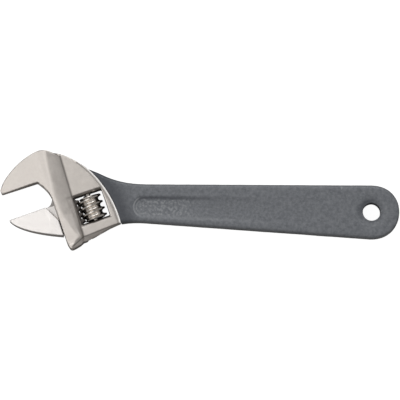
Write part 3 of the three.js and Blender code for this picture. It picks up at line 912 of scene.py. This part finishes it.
def spread(tree, value, low, high, place):
    """A mask spread between two values."""
    made = add(tree, "ShaderNodeMapRange", place, inputs={"From Min": 0.25, "From Max": 0.75})
    made.inputs["To Min"].default_value = low
    made.inputs["To Max"].default_value = high
    tree.links.new(value, made.inputs["Value"])
    return made


def relief(tree, height, strength, distance, shader, place):
    bump = add(tree, "ShaderNodeBump", place, inputs={"Strength": strength, "Distance": distance * MM})
    tree.links.new(height, bump.inputs["Height"])
    tree.links.new(bump.outputs["Normal"], shader.inputs["Normal"])
    return bump


def plated_metal(name, dark, light, edge, crease_shade, rough, grain_scale, bump, worn=0.5, crease_shade_share=0.6, pits=0.3):
    """Satin plating over forged or ground steel, with worn bright edges, creases darkened by dirt and painted
    shade, a painted highlight with burnish where marked, and oil with painted shade where marked.
    """
    material, tree, shader, mapping = new_finish(name, 1.0, rough)
    vector = mapping.outputs["Vector"]
    grain = placed(tree, GRAIN, vector, (-800, 200), Grain_Scale=grain_scale, Pit_Share=pits)
    wear_and_crease_shade = placed(tree, WEAR_AND_CREASE_SHADE, vector, (-800, -200))
    base = tinted(tree, grain.outputs["Mottle"], dark, light, (-680, 260))
    grime_and_shade = add(tree, "ShaderNodeAttribute", (-800, 420), attribute_name="grime_and_shade")
    burnish_and_highlight = add(tree, "ShaderNodeAttribute", (-800, 600), attribute_name="burnish_and_highlight")
    # Creases darkened by dirt and painted shade.
    crease_shaded = overlaid(tree, base.outputs[2], wear_and_crease_shade.outputs["Crease"], crease_shade, crease_shade_share, (-560, 260))
    # Burnish and a painted highlight along the collar.
    rubbed = overlaid(tree, crease_shaded.outputs[2], burnish_and_highlight.outputs["Fac"], BURNISH_AND_HIGHLIGHT_STEEL, 0.9, (-440, 260))
    worn_edges = overlaid(tree, rubbed.outputs[2], wear_and_crease_shade.outputs["Edge"], edge, worn, (-320, 260))
    # Oil and painted shade laid over recesses, rack and creases.
    oiled_and_shaded = overlaid(tree, worn_edges.outputs[2], grime_and_shade.outputs["Fac"], OIL_AND_SHADE_BLACK, 1.0, (-200, 260))
    roughness = spread(tree, grain.outputs["Mottle"], rough - 0.05, rough + 0.06, (-380, -60))
    tree.links.new(oiled_and_shaded.outputs[2], shader.inputs["Base Color"])
    tree.links.new(roughness.outputs["Result"], shader.inputs["Roughness"])
    relief(tree, grain.outputs["Height"], bump, 0.05, shader, (-200, -300))
    return material


def dipped_vinyl():
    """Blue-grey dipped vinyl with a pebbled skin, slightly glossy on its high spots."""
    material, tree, shader, mapping = new_finish("dipped_vinyl", 0.0, 0.5)
    vector = mapping.outputs["Vector"]
    grain = placed(tree, GRAIN, vector, (-1000, 200), Grain_Scale=1500.0, Mottle_Scale=700.0, Pit_Share=0.15)
    wear_and_crease_shade = placed(tree, WEAR_AND_CREASE_SHADE, vector, (-1000, -200))
    rubs = add(tree, "ShaderNodeAttribute", (-1200, 420), attribute_name="rubbed")
    shade_mark = add(tree, "ShaderNodeAttribute", (-1200, 600), attribute_name="grip_shade")
    specks = add(tree, "ShaderNodeTexNoise", (-1000, 480), inputs={"Scale": 800.0, "Detail": 2.0})
    high = add(tree, "ShaderNodeMapRange", (-800, 480), inputs={"From Min": 0.48, "From Max": 0.66})
    rub_mask = add(tree, "ShaderNodeMath", (-640, 480), operation="MULTIPLY")
    tree.links.new(vector, specks.inputs["Vector"])
    tree.links.new(specks.outputs["Fac"], high.inputs["Value"])
    tree.links.new(high.outputs["Result"], rub_mask.inputs[0])
    tree.links.new(rubs.outputs["Fac"], rub_mask.inputs[1])
    base = tinted(tree, grain.outputs["Mottle"], (0.06, 0.07, 0.086), (0.33, 0.345, 0.37), (-760, 260))
    # Painted shade by the collar, under the panel's rim and round the hanging hole.
    dark = overlaid(tree, base.outputs[2], shade_mark.outputs["Fac"], (0.05, 0.056, 0.07), 0.8, (-600, 260))
    # Creases darkened by dirt and painted shade.
    crease_shaded = overlaid(tree, dark.outputs[2], wear_and_crease_shade.outputs["Crease"], (0.07, 0.075, 0.082), 0.5, (-450, 260))
    worn = overlaid(tree, crease_shaded.outputs[2], wear_and_crease_shade.outputs["Edge"], (0.2, 0.21, 0.225), 0.4, (-300, 260))
    rubbed = overlaid(tree, worn.outputs[2], rub_mask.outputs["Value"], (0.5, 0.52, 0.54), 0.7, (-150, 260))
    lines = add(tree, "ShaderNodeAttribute", (-1200, 780), attribute_name="bead_highlight_and_scuff")
    # Painted highlights on the panel's two beads, and a small scuff.
    bead_highlight_and_scuff = overlaid(tree, rubbed.outputs[2], lines.outputs["Fac"], (0.5, 0.52, 0.54), 0.75, (0, 420))
    roughness = spread(tree, grain.outputs["Mottle"], 0.3, 0.5, (-380, -60))
    tree.links.new(bead_highlight_and_scuff.outputs[2], shader.inputs["Base Color"])
    tree.links.new(roughness.outputs["Result"], shader.inputs["Roughness"])
    relief(tree, grain.outputs["Height"], 0.5, 0.12, shader, (-200, -300))
    return material


def pale_floor():
    """A lit white table. What the metal mirrors of it is a calmer grey."""
    material = bpy.data.materials.new("white_table")
    material.use_nodes = True
    tree = material.node_tree
    tree.nodes.clear()
    out = add(tree, "ShaderNodeOutputMaterial", (600, 0))
    path = add(tree, "ShaderNodeLightPath", (-200, 300))
    glow = add(tree, "ShaderNodeEmission", (-200, 0), inputs={"Color": (1, 1, 1, 1), "Strength": 0.95})
    pale = add(tree, "ShaderNodeBsdfDiffuse", (-200, -150), inputs={"Color": (0.35, 0.35, 0.35, 1)})
    calm = add(tree, "ShaderNodeBsdfDiffuse", (-200, -300), inputs={"Color": (0.3, 0.29, 0.28, 1)})
    lit = add(tree, "ShaderNodeAddShader", (0, 0))
    mix = add(tree, "ShaderNodeMixShader", (300, 0))
    link = tree.links.new
    link(glow.outputs[0], lit.inputs[0])
    link(pale.outputs[0], lit.inputs[1])
    link(path.outputs["Is Camera Ray"], mix.inputs[0])
    link(calm.outputs[0], mix.inputs[1])
    link(lit.outputs[0], mix.inputs[2])
    link(mix.outputs[0], out.inputs["Surface"])
    return material


# ---------------------------------------------------------------- room, lights and camera


def make_floor():
    bm = bmesh.new()
    bmesh.ops.create_grid(bm, x_segments=1, y_segments=1, size=6)
    bmesh.ops.translate(bm, verts=bm.verts, vec=(0, 0, -0.00005))
    mesh = bpy.data.meshes.new("table")
    bm.to_mesh(mesh)
    bm.free()
    mesh.materials.append(pale_floor())
    table = bpy.data.objects.new("table", mesh)
    bpy.context.scene.collection.objects.link(table)


def soft_light(name, azimuth, rise, distance, width, height, glow, colour=(1, 1, 1)):
    """A soft box that faces the object, with the glow that its face has."""
    light = bpy.data.lights.new(name, "AREA")
    light.shape = "RECTANGLE"
    light.size = width
    light.size_y = height
    light.energy = glow * math.pi * width * height
    light.color = colour
    lamp = bpy.data.objects.new(name, light)
    a, e = math.radians(azimuth), math.radians(rise)
    back = Vector((math.sin(a) * math.cos(e), -math.cos(a) * math.cos(e), math.sin(e)))
    lamp.location = back * distance
    lamp.rotation_euler = (-back).to_track_quat("-Z", "Y").to_euler()
    bpy.context.scene.collection.objects.link(lamp)


def overhead_box(name, along, across, height, glow, colour=(1, 1, 1)):
    """A level soft box over the table, given by what it spans along and across the handle."""
    width, depth = along[1] - along[0], across[1] - across[0]
    light = bpy.data.lights.new(name, "AREA")
    light.shape = "RECTANGLE"
    light.size = width
    light.size_y = depth
    light.energy = glow * math.pi * width * depth
    light.color = colour
    lamp = bpy.data.objects.new(name, light)
    lamp.location = ((along[0] + along[1]) / 2, (across[0] + across[1]) / 2, height)
    bpy.context.scene.collection.objects.link(lamp)


def light_room():
    world = bpy.data.worlds.new("pale_room")
    bpy.context.scene.world = world
    world.use_nodes = True
    world.node_tree.nodes["Background"].inputs["Color"].default_value = (1.0, 0.985, 0.97, 1)
    world.node_tree.nodes["Background"].inputs["Strength"].default_value = 0.33
    overhead_box("ceiling_left", (-0.9, -0.07), (-0.5, 0.6), 1.0, 0.74, (1.0, 0.99, 0.975))
    soft_light("left_strip", 275, 61, 0.95, 0.05, 0.5, 1.6)
    soft_light("back_window", 178, 42, 1.2, 1.2, 0.5, 2.2)


def place_camera():
    rise, roll = VIEW_RISE, VIEW_ROLL
    back = Vector((0, -math.cos(rise), math.sin(rise)))
    level = Vector((0, math.sin(rise), math.cos(rise)))
    right = Vector((math.cos(roll), 0, 0)) + level * math.sin(roll)
    top = level * math.cos(roll) - Vector((math.sin(roll), 0, 0))
    aim = at_handle(HOLE_X, HANDLE_Y) + right * AIM_FROM_HOLE[0] + top * AIM_FROM_HOLE[1]
    data = bpy.data.cameras.new("camera")
    data.sensor_width = SENSOR
    data.lens = SENSOR * CAMERA_DISTANCE / FRAME_WIDTH
    data.clip_start = 0.1
    data.clip_end = 50
    camera = bpy.data.objects.new("camera", data)
    turn = Matrix((right, top, back)).transposed().to_4x4()
    camera.matrix_world = Matrix.Translation(aim + back * CAMERA_DISTANCE) @ turn
    bpy.context.scene.collection.objects.link(camera)
    bpy.context.scene.camera = camera


satin = plated_metal(
    "satin_nickel",
    (0.63, 0.59, 0.552), (0.82, 0.775, 0.735), (0.92, 0.89, 0.86), (0.3, 0.26, 0.23),
    0.4, 1500.0, 0.6,
)
ground = plated_metal(
    "ground_nickel",
    (0.84, 0.81, 0.79), (0.92, 0.895, 0.88), (0.97, 0.96, 0.95), (0.4, 0.37, 0.34),
    0.36, 3200.0, 0.15,
)
polished = plated_metal(
    "polished_steel",
    (0.80, 0.75, 0.70), (0.88, 0.84, 0.79), (0.95, 0.93, 0.9), (0.14, 0.11, 0.09),
    0.22, 3000.0, 0.02, worn=0.25, crease_shade_share=0.8, pits=0.0,
)
spring_steel = plated_metal(
    "spring_steel",
    (0.42, 0.40, 0.38), (0.55, 0.53, 0.51), (0.7, 0.68, 0.66), (0.15, 0.13, 0.12),
    0.3, 3500.0, 0.1,
)
vinyl = dipped_vinyl()

make_body(satin)
make_jaw(ground)
make_worm(polished)
make_pin(polished)
make_spring(spring_steel)
make_grip(vinyl)
make_floor()
light_room()
place_camera()
bpy.context.scene.view_settings.view_transform = "Standard"
